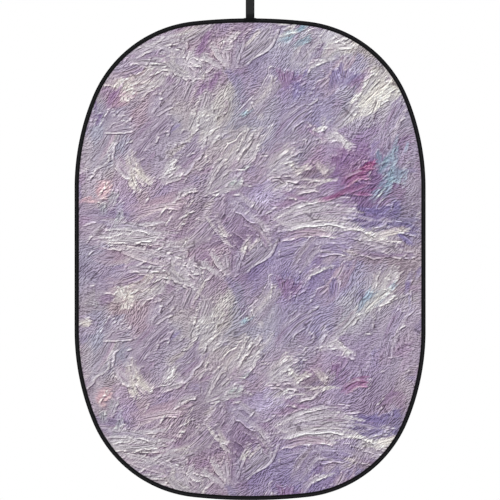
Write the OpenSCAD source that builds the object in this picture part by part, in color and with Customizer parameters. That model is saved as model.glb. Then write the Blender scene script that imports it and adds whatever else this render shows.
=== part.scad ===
// Collapsible backdrop panel: two cloths stretched in a sprung steel hoop that hides inside an edge
// binding, hung from a webbing loop sewn in at the top.
// Frame: origin on the axis of the crossbar that the loop hangs from, +Z up, the front faces -Y.

/* [Panel] */
// Overall width of the panel over its binding
panel_w = 1530; // [1500:10:1560]
// Overall height of the panel over its binding
panel_h = 2100; // [2060:10:2140]
// Radius of the long, gentle arc at each end of the straight sides
side_r = 1040; // [1000:10:1080]
// Angle that the side arc turns through
side_sweep = 22.5; // [21:0.5:24]
// Radius of the shallow arc across the top and the bottom
crown_r = 2280; // [2200:10:2400]
// Angle from the middle of the top to where the corner arc starts
crown_sweep = 6.25; // [6:0.25:6.5]

/* [Cloth] */
// Thickness of each cloth
cloth_t = 0.6; // [0.4:0.1:0.8]
// Air between the front and the back cloth
cloth_gap = 0.2; // [0.1:0.1:0.4]

/* [Hoop] */
// Width of the spring steel strip, front to back
hoop_w = 8; // [7:0.5:9]
// Thickness of the spring steel strip
hoop_t = 1.4; // [1.2:0.1:1.6]
// Length of the crimped sleeve over the strip's two ends
sleeve_l = 64; // [50:2:80]

/* [Binding] */
// Thickness of the edge tape
tape_t = 0.8; // [0.6:0.1:1]
// How far the tape laps onto the cloth, from the panel's outer edge
tape_lap = 19; // [17:0.5:22]

/* [Hanging strap] */
// Width of the webbing
strap_w = 38; // [34:1:40]
// Thickness of the webbing
strap_t = 1.6; // [1.4:0.1:1.7]
// Radius of the crossbar that the loop seats on
bar_r = 16; // [12:0.5:18]
// Height of the crossbar's axis above the panel's top edge
strap_drop = 190; // [180:5:220]
// Length of the doubled neck that is sewn flat below the loop
neck_l = 32; // [28:1:36]

/* [Motion] */
// Height of the swing axis above the panel's top edge
swing_h = 8; // [7:0.5:10]
// Distance of the fold axis in front of the cloths' middle plane
fold_front = 8; // [7.5:0.5:10]

/* [Hidden] */
$fn = 96;

// Outline: one quadrant is a straight side and three arcs, each tangent to the next.
half_w = panel_w / 2;
half_h = panel_h / 2;
corner_end = 90 - crown_sweep;
corner_r = (half_w - side_r * (1 - cos(side_sweep)) - crown_r * cos(corner_end))
  / (cos(side_sweep) - cos(corner_end));
straight_h = half_h - side_r * sin(side_sweep)
  - corner_r * (sin(corner_end) - sin(side_sweep)) - crown_r * (1 - sin(corner_end));
side_c = [half_w - side_r, straight_h];
corner_c = side_c + (side_r - corner_r) * [cos(side_sweep), sin(side_sweep)];
crown_c = corner_c + (corner_r - crown_r) * [cos(corner_end), sin(corner_end)];
// Each arc of the quadrant: centre, radius, first angle, last angle
arcs = [
  [side_c, side_r, 0, side_sweep],
  [corner_c, corner_r, side_sweep, corner_end],
  [crown_c, crown_r, corner_end, 90]
];
outline_step = 2;
panel_z = -(strap_drop + half_h);
half_gap = 0.5; // each half stops this far from the fold line
lap = 0.02; // the legs of the loop run this far into its round top

// Section of the rim: depths are from the panel's outer edge, heights from the middle plane.
channel_h = hoop_w / 2 + 1.3; // room for the strip with its sleeve and wrap
channel_end = 6.5; // depth at which the channel for the strip ends
seam_start = 13.5; // depth at which the webbing's tails lie flat
thread_w = 0.6;
join_thread_w = 0.3;
join_depth = 10.5; // depth of the first seam, which joins the two cloths
stitch_depth = 16.5; // depth of the seam row that closes the binding
cloth_face = cloth_gap / 2 + cloth_t;
seam_h = cloth_face + join_thread_w + 0.05; // the tape lies over the first seam's thread
tape_slope = atan((channel_h - seam_h) / (seam_start - channel_end));
cloth_inset = 5.8; // the cloths end inside the channel, this deep
hoop_inset = 2.2;
sleeve_t = 0.5;
wrap_t = 0.25;
slip = 0.05; // clearance between pieces that are pressed or sewn together
rivet_r = 1;
rivet_head_r = 1.9;
rivet_head_t = 0.35;
rivet_pitch = 12;

// Anchor patch over the strap's tails
patch_w = 54;
patch_t = 0.7;
patch_slot_w = strap_w + 2;
patch_slot_h = channel_h + 1; // half height of the slot that the tails leave through
tape_break_w = strap_w + 6; // the tape's two ends stop this far apart
tail_end = 17; // depth that the tails reach

neck_top_z = -(strap_drop - swing_h - neck_l);
swing_z = -(strap_drop - swing_h);
hinge_relief = 1.5; // each side of the swing axis

// Point on an arc, moved inward by d
function arc_point(a, angle, d) = a[0] + (a[1] - d) * [cos(angle), sin(angle)];

// Steps that an arc is drawn in
function arc_steps(a) = ceil((a[3] - a[2]) / outline_step);

// A quadrant's outline moved inward by d, from height low to the middle of the top
function quadrant_points(d, low) = concat(
  [[half_w - d, low]],
  [for (a = arcs, n = [0 : arc_steps(a) - 1])
    arc_point(a, a[2] + n * (a[3] - a[2]) / arc_steps(a), d)],
  [[0, half_h - d]]
);

// Everything inside the upper half's outline, moved inward by d
module half_region(d, low = half_gap) {
  right = quadrant_points(d, low);
  left = [for (n = [len(right) - 2 : -1 : 0]) [-right[n][0], right[n][1]]];
  polygon(concat(right, left));
}

// Turns the panel's plan, which is drawn flat in X and Y, upright and puts its middle in place
module upright() {
  translate([0, 0, panel_z]) rotate([90, 0, 0]) children();
}

module lower_half() {
  mirror([0, 1, 0]) children();
}

// A band that follows the upper half's edge, between two depths and two heights
module half_band(near, far, low, high) {
  translate([0, 0, low]) linear_extrude(height = high - low) difference() {
    half_region(near);
    half_region(far, -1);
  }
}

// Sweeps a section across the middle of the top, over the length that is given
module crown_sweep(length) {
  turn = length / crown_r * 180 / PI;
  translate([0, half_h - crown_r, 0]) rotate([0, 0, 90 - turn / 2])
    rotate_extrude(angle = turn, $fn = 240) translate([crown_r, 0]) children();
}

// Front leg of a wall that follows the channel, between two distances outside it
function leg_points(near, far, reach) = let (m = tan(tape_slope / 2)) [
  [-reach, seam_h + near],
  [-seam_start - m * near, seam_h + near],
  [-channel_end - m * near, channel_h + near],
  [-tape_t + near, channel_h + near],
  [-tape_t + near, 0],
  [-tape_t + far, 0],
  [-tape_t + far, channel_h + 0.1],
  [-tape_t + far - 0.7, channel_h + far],
  [-channel_end - m * far, channel_h + far],
  [-seam_start - m * far, seam_h + far],
  [-reach, seam_h + far]
];

module channel_wall(near, far, reach) {
  polygon(leg_points(near, far, reach));
  mirror([0, 1]) polygon(leg_points(near, far, reach));
}

// The strip's own band, or one that is wider and thicker all round by grow
module hoop_band(grow = 0) {
  half_band(hoop_inset - grow, hoop_inset + hoop_t + grow, -hoop_w / 2 - grow, hoop_w / 2 + grow);
}

// A tube around the strip, over a length across the middle
module hoop_tube(inner, outer, length) {
  intersection() {
    difference() {
      hoop_band(outer);
      hoop_band(inner);
    }
    translate([0, half_h, 0]) cube([length, 60, 40], center = true);
  }
}

// A row of thread on the front and one on the back
module thread_bands(depth, height, width) {
  half_band(depth - width / 2, depth + width / 2, height, height + width);
  half_band(depth - width / 2, depth + width / 2, -height - width, -height);
}

// ---- Hanging strap ----

// Turns a drawing in Y and Z into a solid across the strap's width
module across_strap(width) {
  rotate([90, 0, 90]) linear_extrude(height = width, center = true) children();
}

leg_tilt = asin(bar_r / -neck_top_z); // each leg leaves the crossbar this far below level
leg_foot_y = slip + strap_t / cos(leg_tilt);

module loop_leg() {
  up = lap * [sin(leg_tilt), cos(leg_tilt)];
  polygon([
    bar_r * [cos(leg_tilt), -sin(leg_tilt)] + up,
    (bar_r + strap_t) * [cos(leg_tilt), -sin(leg_tilt)] + up,
    [leg_foot_y, neck_top_z + half_gap],
    [slip, neck_top_z + half_gap]
  ]);
}

module hanging_strap() {
  reach = 3 * bar_r;
  color("#2a2a2c") across_strap(strap_w) {
    difference() {
      circle(r = bar_r + strap_t);
      circle(r = bar_r);
      polygon([
        [0, 0],
        reach * [cos(leg_tilt), -sin(leg_tilt)],
        [reach, -reach],
        [-reach, -reach],
        reach * [-cos(leg_tilt), -sin(leg_tilt)]
      ]);
    }
    loop_leg();
    mirror([1, 0]) loop_leg();
  }
}

module strap_neck() {
  color("#2a2a2c") for (side = [-1, 1])
    translate([0, side * (slip + strap_t / 2), (neck_top_z - half_gap + swing_z + hinge_relief) / 2])
      cube([strap_w, strap_t, neck_top_z - half_gap - swing_z - hinge_relief], center = true);
}

// A sewn box with its two diagonals, on both faces of the neck
module strap_box_stitch() {
  box_w = strap_w - 8;
  box_h = neck_l - 11;
  face_y = slip + strap_t;
  turn = atan(box_h / box_w);
  color("#1c1c1e") for (side = [-1, 1])
    translate([0, side * (face_y + thread_w / 2), (neck_top_z + swing_z) / 2]) {
      rotate([90, 0, 0]) linear_extrude(height = thread_w, center = true) {
        difference() {
          square([box_w, box_h], center = true);
          square([box_w - 2 * thread_w, box_h - 2 * thread_w], center = true);
        }
        intersection() {
          square([box_w, box_h], center = true);
          for (way = [-1, 1]) rotate(way * turn) square([2 * box_w, thread_w], center = true);
        }
      }
    }
}

// The webbing's two ends, which straddle the steel strip and are sewn down under the patch
module strap_tails() {
  near = slip;
  far = slip + strap_t;
  m = tan(tape_slope / 2);
  top = swing_h - hinge_relief;
  spread = 1; // depth at which the tails start to close above the strip
  tail = [
    [-tail_end, seam_h + near],
    [-seam_start - m * near, seam_h + near],
    [-channel_end - m * near, channel_h + near],
    [-spread, channel_h + near],
    [top - 1, slip],
    [top, slip],
    [top, slip + strap_t],
    [top - 1, slip + strap_t],
    [-spread, channel_h + far],
    [-channel_end - m * far, channel_h + far],
    [-seam_start - m * far, seam_h + far],
    [-tail_end, seam_h + far]
  ];
  color("#2a2a2c") for (side = [-1, 1])
    translate([0, 0, -strap_drop]) across_strap(strap_w)
      polygon([for (p = tail) [side * p[1], p[0]]]);
}

// ---- Top anchor ----

module strap_anchor_patch() {
  near = strap_t + 0.15;
  color("#18181a") upright() difference() {
    crown_sweep(patch_w) channel_wall(near, near + patch_t, tape_lap);
    translate([0, half_h, 0]) cube([patch_slot_w, 2 * channel_h / 2, 2 * patch_slot_h], center = true);
  }
}

// Two rows across the patch, front and back
module patch_stitch() {
  face = seam_h + strap_t + 0.15 + patch_t;
  rows = [15.5, 18];
  color("#101012") upright() for (depth = rows, side = [-1, 1])
    crown_sweep(patch_w - 6)
      translate([-depth, side * (face + thread_w / 2)]) square(thread_w, center = true);
}

// ---- Cloths ----

module cloth_half(side) {
  translate([0, 0, side * (cloth_gap + cloth_t) / 2])
    linear_extrude(height = cloth_t, center = true) half_region(cloth_inset);
}

module front_cloth_upper() {
  color("#b3a3bb") upright() cloth_half(1);
}

module front_cloth_lower() {
  color("#b3a3bb") upright() lower_half() cloth_half(1);
}

module back_cloth_upper() {
  color("#bdbcba") upright() cloth_half(-1);
}

module back_cloth_lower() {
  color("#bdbcba") upright() lower_half() cloth_half(-1);
}

// The first seam, which joins the two cloths all round under the binding
module join_stitch_upper() {
  color("#6d6a70") upright() difference() {
    thread_bands(join_depth, cloth_face, join_thread_w);
    translate([0, half_h, 0]) cube([tape_break_w, 3 * tape_lap, 40], center = true);
  }
}

module join_stitch_lower() {
  color("#6d6a70") upright() lower_half() thread_bands(join_depth, cloth_face, join_thread_w);
}

// ---- Steel hoop ----

module hoop_upper() {
  color("#8d8f92") upright() hoop_band();
}

// Places the sleeve's rivets along the bottom, each along the strip's thickness
module at_rivets() {
  tilt = crown_sweep / arc_steps(arcs[2]) / 2; // slope of the first stretch beside the middle
  for (side = [0, 1], n = [0.5, 1.5]) {
    x = n * rivet_pitch;
    mirror([side, 0, 0]) translate([x, half_h - hoop_inset - hoop_t / 2 - x * tan(tilt), 0])
      rotate([0, 0, 90 - tilt]) rotate([0, 90, 0]) children();
  }
}

// The strip's two ends butt at the bottom, inside the sleeve
module hoop_lower() {
  color("#8d8f92") upright() lower_half() difference() {
    hoop_band();
    translate([0, half_h, 0]) cube([2 * half_gap, 20, 20], center = true);
    at_rivets() cylinder(r = rivet_r, h = 10, center = true);
  }
}

module splice_sleeve() {
  color("#a5a7aa") upright() lower_half() difference() {
    hoop_tube(slip, slip + sleeve_t, sleeve_l);
    at_rivets() cylinder(r = rivet_r, h = 10, center = true);
  }
}

// Two rivets through the sleeve at each end of the strip
module splice_rivets() {
  reach = hoop_t / 2 + slip + sleeve_t;
  color("#9a9c9f") upright() lower_half() at_rivets() {
    cylinder(r = rivet_r - 0.01, h = 2 * (reach + slip), center = true);
    for (side = [-1, 1])
      translate([0, 0, side * (reach + slip / 2 + rivet_head_t / 2)])
        cylinder(r = rivet_head_r, h = rivet_head_t, center = true);
  }
}

// Heat-shrunk tube over the sleeve and its rivets
module splice_wrap() {
  inner = slip + sleeve_t + rivet_head_t + slip;
  color("#1a1a1a") upright() lower_half() hoop_tube(inner, inner + wrap_t, sleeve_l + 16);
}

// ---- Edge binding ----

// The tape: round the outside, over the channel, down its inner side and flat on both cloths
module binding_half() {
  crest = channel_h + tape_t;
  half_band(0, tape_t, -crest, crest);
  for (side = [0, 1]) mirror([0, 0, side]) {
    half_band(0, channel_end + tape_t, channel_h, crest);
    half_band(channel_end, channel_end + tape_t, seam_h, crest);
    half_band(channel_end, tape_lap, seam_h, seam_h + tape_t);
  }
}

module binding_upper() {
  color("#18181a") upright() difference() {
    binding_half();
    translate([0, half_h, 0]) cube([tape_break_w, 3 * tape_lap, 40], center = true);
  }
}

module binding_lower() {
  color("#18181a") upright() lower_half() binding_half();
}

module binding_stitch_upper() {
  color("#101012") upright() difference() {
    thread_bands(stitch_depth, seam_h + tape_t, thread_w);
    translate([0, half_h, 0]) cube([patch_w + 2, 3 * tape_lap, 40], center = true);
  }
}

module binding_stitch_lower() {
  color("#101012") upright() lower_half() thread_bands(stitch_depth, seam_h + tape_t, thread_w);
}

hanging_strap();
strap_neck();
strap_box_stitch();
strap_tails();
strap_anchor_patch();
patch_stitch();
front_cloth_upper();
back_cloth_upper();
join_stitch_upper();
hoop_upper();
binding_upper();
binding_stitch_upper();
front_cloth_lower();
back_cloth_lower();
join_stitch_lower();
hoop_lower();
binding_lower();
binding_stitch_lower();
splice_sleeve();
splice_rivets();
splice_wrap();
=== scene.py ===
"""Collapsible backdrop panel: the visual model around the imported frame.

Two cloths in a hidden steel hoop, an edge binding and a webbing loop. Metres, +Z up, front faces -Y.
"""
from math import asin, copysign, cos, exp, pi, radians, sin

import bpy
import numpy as np
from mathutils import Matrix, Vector


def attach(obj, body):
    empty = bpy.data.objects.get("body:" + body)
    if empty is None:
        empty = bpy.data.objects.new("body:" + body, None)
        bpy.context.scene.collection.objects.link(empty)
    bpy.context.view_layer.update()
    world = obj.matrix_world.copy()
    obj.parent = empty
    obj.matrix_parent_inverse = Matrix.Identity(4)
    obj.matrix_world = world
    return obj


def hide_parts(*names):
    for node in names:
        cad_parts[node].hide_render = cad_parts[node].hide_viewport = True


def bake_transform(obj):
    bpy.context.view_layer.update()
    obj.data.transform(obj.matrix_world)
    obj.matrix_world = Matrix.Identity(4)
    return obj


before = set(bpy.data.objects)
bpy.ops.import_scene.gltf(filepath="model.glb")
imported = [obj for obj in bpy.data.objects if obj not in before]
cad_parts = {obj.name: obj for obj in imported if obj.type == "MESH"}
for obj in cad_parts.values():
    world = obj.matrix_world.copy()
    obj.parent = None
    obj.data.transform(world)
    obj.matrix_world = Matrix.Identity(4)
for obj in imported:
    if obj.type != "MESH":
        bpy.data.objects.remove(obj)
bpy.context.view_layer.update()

# ---- the CAD's own dimensions
HALF_W = .765
HALF_H = 1.05
MID_Z = -1.24
SIDE_R, SIDE_SWEEP = 1.04, radians(22.5)
CROWN_R, CROWN_SWEEP = 2.28, radians(6.25)
CORNER_END = pi / 2 - CROWN_SWEEP
CORNER_R = (HALF_W - SIDE_R * (1 - cos(SIDE_SWEEP)) - CROWN_R * cos(CORNER_END)) / (
    cos(SIDE_SWEEP) - cos(CORNER_END))
STRAIGHT_H = (HALF_H - SIDE_R * sin(SIDE_SWEEP) - CROWN_R * (1 - sin(CORNER_END))
              - CORNER_R * (sin(CORNER_END) - sin(SIDE_SWEEP)))
SIDE_C = np.array([HALF_W - SIDE_R, STRAIGHT_H])
CORNER_C = SIDE_C + (SIDE_R - CORNER_R) * np.array([cos(SIDE_SWEEP), sin(SIDE_SWEEP)])
CROWN_C = CORNER_C + (CORNER_R - CROWN_R) * np.array([cos(CORNER_END), sin(CORNER_END)])
ARCS = [(SIDE_C, SIDE_R, 0, SIDE_SWEEP), (CORNER_C, CORNER_R, SIDE_SWEEP, CORNER_END),
        (CROWN_C, CROWN_R, CORNER_END, pi / 2)]
CLOTH_DEPTH = .0062      # the cloths end this far inside the outline
CLOTH_Y = .0004          # each cloth's distance from the middle plane
STRAP_W = .038
STRAP_T = .0016
BAR_R = .016
NECK_TOP = -.150
SWING_Z = -.182
TOP_Z = -.190
PAINTING_SEED = 4117
PITCH = .0055            # spacing of the printed cloth's mesh
BACK_PITCH = .012        # spacing of the plain cloth's mesh
RELIEF_GAIN = 1.45       # light and shade on the printed crusts of paint
BRISTLE_GAIN = 7.6       # light and shade on the fine lines a brush draws
CREVICE_GAIN = 2.3       # how deep the shaded sides of the paint are
LIT_MOST = .38           # the most that a lit edge brightens
STREAK_GAIN = .14        # bristle streaks along each stroke
PRINT_GAIN = .756        # brings the painted colours to their shade under these lights
TILE = .905              # the print repeats at this height
FLOOR_Z = -2.52
CAMERA_AWAY = 11.0       # the camera's distance
CAMERA_SPAN = 2.179      # the width that it sees there
CAMERA_X, CAMERA_RISE = -.0004, .0403  # where it looks, from the panel's middle


# ---- outline
def path_length(points):
    """How far along a path each of its points is."""
    return np.concatenate([[0], np.cumsum(np.hypot(*np.diff(points, axis=0).T))])


def outline(step, depth=0.0):
    """Points and outward normals, evenly spaced around the panel's edge, moved inward by depth."""
    quarter = [(HALF_W, z, 1.0, 0.0) for z in np.linspace(0, STRAIGHT_H, 40)[:-1]]
    for centre, radius, first, last in ARCS:
        for a in np.linspace(first, last, 240)[:-1]:
            c, s = cos(a), sin(a)
            quarter.append((centre[0] + radius * c, centre[1] + radius * s, c, s))
    quarter = np.array(quarter + [(0.0, HALF_H, 0.0, 1.0)])
    left = quarter[-2::-1] * [-1, 1, -1, 1]
    upper = np.vstack([quarter, left])
    lower = upper[-2:0:-1] * [1, -1, 1, -1]
    loop = np.vstack([upper, lower, quarter[:1]])
    length = path_length(loop[:, :2])
    count = int(round(length[-1] / step))
    at = np.linspace(0, length[-1], count, endpoint=False)
    p = np.stack([np.interp(at, length, loop[:, k]) for k in range(4)], 1)
    normal = p[:, 2:] / np.hypot(p[:, 2], p[:, 3])[:, None]
    return p[:, :2] - depth * normal, normal, at


def depth_inside(x, z):
    """Distance inside the panel's edge; exact near the edge."""
    ax, az = np.abs(x), np.abs(z)
    out = HALF_W - ax
    for k, (centre, radius, first, last) in enumerate(ARCS):
        dx, dz = ax - centre[0], az - centre[1]
        angle = np.arctan2(dz, dx)
        inside = (az > STRAIGHT_H) & (angle >= first if k else angle > -9)
        out = np.where(inside, radius - np.hypot(dx, dz), out)
    return out


# ---- mesh helpers
def mesh_object(name, verts, faces):
    """A mesh of quads; a row that ends in -1 is a triangle."""
    mesh = bpy.data.meshes.new(name)
    verts = np.asarray(verts, np.float32)
    faces = np.asarray(faces, np.int32)
    size = (faces >= 0).sum(1)
    corners = faces[faces >= 0]
    mesh.vertices.add(len(verts))
    mesh.vertices.foreach_set("co", verts.ravel())
    mesh.loops.add(len(corners))
    mesh.loops.foreach_set("vertex_index", corners)
    mesh.polygons.add(len(faces))
    mesh.polygons.foreach_set("loop_start", np.concatenate([[0], np.cumsum(size)[:-1]]).astype(np.int32))
    mesh.update(calc_edges=True)
    mesh.validate()
    mesh.polygons.foreach_set("use_smooth", [True] * len(mesh.polygons))
    obj = bpy.data.objects.new(name, mesh)
    bpy.context.scene.collection.objects.link(obj)
    return obj


def dressed(obj, material):
    obj.data.materials.append(material)
    return obj


def tube_faces(rings, around, closed=True):
    """Quads between neighbouring rings of a swept section; closed joins the last ring to the first."""
    last = rings if closed else rings - 1
    i = np.arange(last)[:, None]
    j = np.arange(around)[None, :]
    n = (i + 1) % rings
    m = (j + 1) % around
    quads = np.stack([i * around + j + 0 * m, i * around + m, n * around + m, n * around + j + 0 * m], -1)
    return quads.reshape(-1, 4)


def point_attribute(obj, name, kind, values):
    attribute = obj.data.attributes.new(name, kind, "POINT")
    key = {"FLOAT": "value", "FLOAT_VECTOR": "vector", "FLOAT_COLOR": "color"}[kind]
    attribute.data.foreach_set(key, np.asarray(values, np.float32).ravel())


# ---- painting the front cloth
INKS = {  # display colours, 0 to 255
    "mauve": (168, 155, 174), "lavender": (158, 145, 174), "grey": (182, 175, 184),
    "rose": (176, 152, 168), "plum": (140, 112, 146), "cream": (220, 210, 209),
    "ivory": (232, 225, 226), "pale": (202, 194, 204), "violet": (108, 84, 134),
    "magenta": (142, 80, 120), "teal": (138, 165, 182), "sky": (160, 178, 200),
    "pink": (210, 170, 182), "sage": (174, 180, 182), "iris": (128, 118, 162),
    "shadow": (112, 98, 122), "orchid": (152, 124, 154),
}
# Soft areas of the ground: x, z from the panel's middle, radii, change in red, green and blue.
# Most of these changes are measured: the photo's mean colour near there, less its mean over the panel.
# Here and below, a 1 at the end says that the print doesn't repeat this one.
AREAS = [
    (-.24, .58, .13, .13, (11, 13, 7)), (-.45, 0, .13, .09, (17, 12, 8)),
    (.3, .46, .12, .14, (-4, -7, -3)), (-.28, .17, .12, .09, (-8, -9, -8)),
    (.48, .16, .13, .09, (-16, -16, -9)), (-.08, 0, .3, .08, (-9, -12, -3)),
    (.4, -.03, .22, .07, (-14, -14, -3)), (.66, .74, .1, .14, (32, 38, 24), 1),
    (.36, .92, .2, .1, (18, 26, 16), 1), (-.45, .9, .14, .09, (10, 16, 6)),
    (.66, .54, .08, .1, (-24, -22, -16), 1), (.47, .36, .13, .09, (-24, -34, -24), 1),
    (.66, .34, .08, .14, (-24, -17, -8), 1), (.6, .18, .12, .07, (-22, -17, -3)),
    (-.63, .72, .08, .09, (12, 14, 6), 1), (.48, -.18, .09, .09, (9, 12, 6), 1),
    (-.66, .52, .08, .16, (-9, 1, 5)), (-.09, .67, .12, .12, (-5, 2, 9)),
    (-.1, .87, .16, .1, (-4, -6, 2), 1), (-.58, .66, .05, .06, (-10, -26, -6), 1),
    (.2, .78, .1, .07, (-9, -10, 3)), (.02, .24, .1, .1, (4, 4, 6)),
    (-.64, -.62, .06, .16, (-8, -8, -8), 1), (-.45, .36, .12, .08, (5, 6, 2)),
]
# The strokes in the four tables from here on lie about where the photo has its bolder ones. They were
# placed to match enlarged crops of it, and the inks' colours were set from samples of it.
# Accents: x, z, heading, length, width, bend (1/m), ink
ACCENTS = [
    (-.54, .735, 70, .06, .035, 5, "cream"), (-.46, .76, 20, .08, .025, -4, "cream"),
    (-.2, .61, 62, .14, .11, 2, "grey"), (-.17, .54, 50, .15, .06, -3, "pale"),
    (.55, .71, 42, .19, .06, -4, "ivory", 1), (.46, .65, 50, .14, .05, 3, "ivory", 1),
    (.62, .77, 50, .16, .07, 4, "cream", 1), (.16, 1, 20, .14, .04, 4, "ivory", 1),
    (.31, .85, 35, .16, .05, -3, "pale"), (.31, .57, 25, .1, .03, 5, "ivory", 1),
    (.41, .51, -35, .14, .045, -4, "pale"), (.2, .4, -40, .11, .035, -14, "ivory"),
    (.15, .31, 30, .12, .04, 6, "pale"), (.26, .34, 12, .16, .03, -5, "ivory"),
    (-.5, .4, 100, .13, .05, -6, "cream"), (-.38, .39, 40, .13, .06, 4, "pale"),
    (-.57, .12, 4, .24, .045, 2, "pale"), (.33, .14, 6, .24, .04, -2.5, "pale"),
    (.52, .13, -4, .2, .03, -6, "ivory"), (-.13, .11, -55, .15, .03, 3, "ivory"),
    (-.03, .04, 60, .1, .04, -4, "ivory"), (-.3, .88, 65, .16, .05, 7, "pale"),
    (-.44, .93, -15, .22, .03, 5, "pale"), (-.08, .97, 40, .1, .04, 4, "pale", 1),
    (.02, .48, 48, .16, .05, 3, "pale"), (.19, .98, 40, .13, .05, 3, "teal", 1),
    (.61, .43, 62, .15, .05, -5, "teal", 1), (.58, .31, 50, .17, .06, 3, "teal", 1),
    (.64, .37, 75, .16, .05, 4, "sky", 1), (-.02, .64, 38, .07, .025, 3, "teal"),
    (-.04, .35, 42, .1, .035, -3, "sage"), (.55, -.15, 45, .18, .07, 3, "sky", 1),
    (.27, .57, -40, .12, .035, 6, "orchid", 1), (.46, .42, 20, .17, .07, -6, "orchid", 1),
    (.48, .38, 35, .13, .045, -6, "magenta", 1), (.45, .295, 12, .24, .035, 4, "magenta", 1),
    (.38, .44, 60, .13, .04, -4, "plum"), (.2, .255, 12, .22, .035, 3, "orchid"),
    (.22, .76, 58, .13, .05, 4, "iris", 1), (.46, .76, 45, .14, .05, -3, "plum", 1),
    (.53, .2, 20, .2, .06, 3, "iris"), (.69, -.12, 75, .16, .05, -3, "iris", 1),
    (-.67, .62, 72, .09, .04, 4, "violet", 1), (-.6, .69, 60, .12, .05, -5, "plum", 1),
    (-.2, .76, 55, .14, .05, 3, "plum", 1), (-.64, .31, 20, .12, .05, 3, "pink"),
    (-.67, .26, 10, .1, .04, -4, "pink", 1), (-.59, .22, 65, .14, .06, 3, "sage"),
    (-.2, .94, 50, .12, .05, -5, "plum", 1), (-.72, -.27, 15, .08, .04, 3, "cream", 1),
    (-.42, .79, 30, .18, .04, 6, "pale"), (.35, .22, 4, .2, .035, -4, "pale"),
]
# Broad flat-brush strokes: x, z, heading, length, width, bend, ink
BROAD = [
    (-.48, .86, 35, .3, .1, 5, "lavender"), (-.4, .8, 48, .28, .09, 5.5, "grey"),
    (-.54, .8, 20, .26, .08, 5, "rose"), (-.25, .78, 60, .3, .09, -2.5, "grey"),
    (.05, .7, 50, .32, .1, 2, "mauve"), (.2, .62, 40, .28, .09, -2.2, "lavender"),
    (.38, .8, 52, .3, .09, 2.4, "rose"), (.58, .78, 60, .3, .08, -2, "grey"),
    (.62, .6, 66, .3, .08, -2.4, "lavender"), (-.62, .5, 58, .32, .1, 1.8, "mauve"),
    (-.44, .55, 48, .34, .11, -1.6, "mauve"), (-.28, .44, 44, .34, .11, 1.8, "lavender"),
    (-.06, .46, 50, .36, .12, -2, "grey"), (.12, .46, 30, .3, .09, -3.6, "mauve"),
    (.02, .92, 42, .32, .1, 2.2, "grey"), (.24, .92, 55, .28, .09, -2.4, "mauve"),
    (-.26, .98, 25, .3, .08, 2, "grey"), (.56, .04, -6, .36, .1, 1.8, "lavender"),
    (-.52, .02, 8, .4, .09, 1.5, "rose"), (-.6, .18, -8, .3, .08, -2, "lavender"),
    (-.4, .24, 12, .36, .09, -1.6, "rose"), (-.18, .16, 48, .3, .1, 1.4, "mauve"),
    (.28, .05, 4, .44, .09, -1.6, "lavender"), (.3, .24, 10, .4, .08, -2.4, "mauve"),
    (.24, .15, -4, .36, .07, -2, "grey"), (.5, .2, -12, .26, .07, -3.4, "iris"),
    (-.03, .23, -38, .22, .09, 3.5, "lavender"), (.05, .12, -48, .2, .06, -4.4, "mauve"),
    (.6, .09, 8, .24, .07, -5, "mauve"), (.14, .34, 20, .2, .07, -6, "grey"),
    (.2, .77, 78, .13, .06, 2, "iris"), (.37, .78, 82, .12, .06, 2, "iris"),
    (.13, .4, 50, .14, .05, -8, "grey"), (-.19, .61, 60, .2, .1, 1.5, "grey"),
]
# The last and crispest strokes, laid over the rest
LAST = [
    (.36, .205, 4, .3, .05, -2.2, "pale"), (.3, .165, 3, .36, .045, -2.2, "pale"),
    (.24, .115, 5, .3, .045, -2.6, "rose"), (.62, .12, 14, .2, .04, -5, "cream"),
    (-.54, .145, -4, .3, .045, -2, "pale"), (-.5, .085, 4, .28, .04, 1.5, "grey"),
    (.22, .39, 35, .12, .035, -10, "cream"), (.24, .3, 14, .16, .03, -5, "pale"),
    (.42, .62, 45, .22, .05, 2, "pale"), (.54, .72, 42, .22, .045, -2, "cream"),
    (-.56, .39, -50, .12, .05, 5, "pale"), (-.29, .29, 28, .14, .04, -4, "pale"),
    (.4, .52, -38, .14, .035, -4, "pale"), (.05, .16, -42, .15, .034, -8, "pale"),
    (-.12, .13, -60, .11, .03, 9, "cream"), (.45, .36, 25, .16, .06, -7, "magenta"),
    (.31, .4, -48, .1, .04, 4, "cream"), (-.32, .83, -40, .16, .05, 5, "grey"),
]
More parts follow.
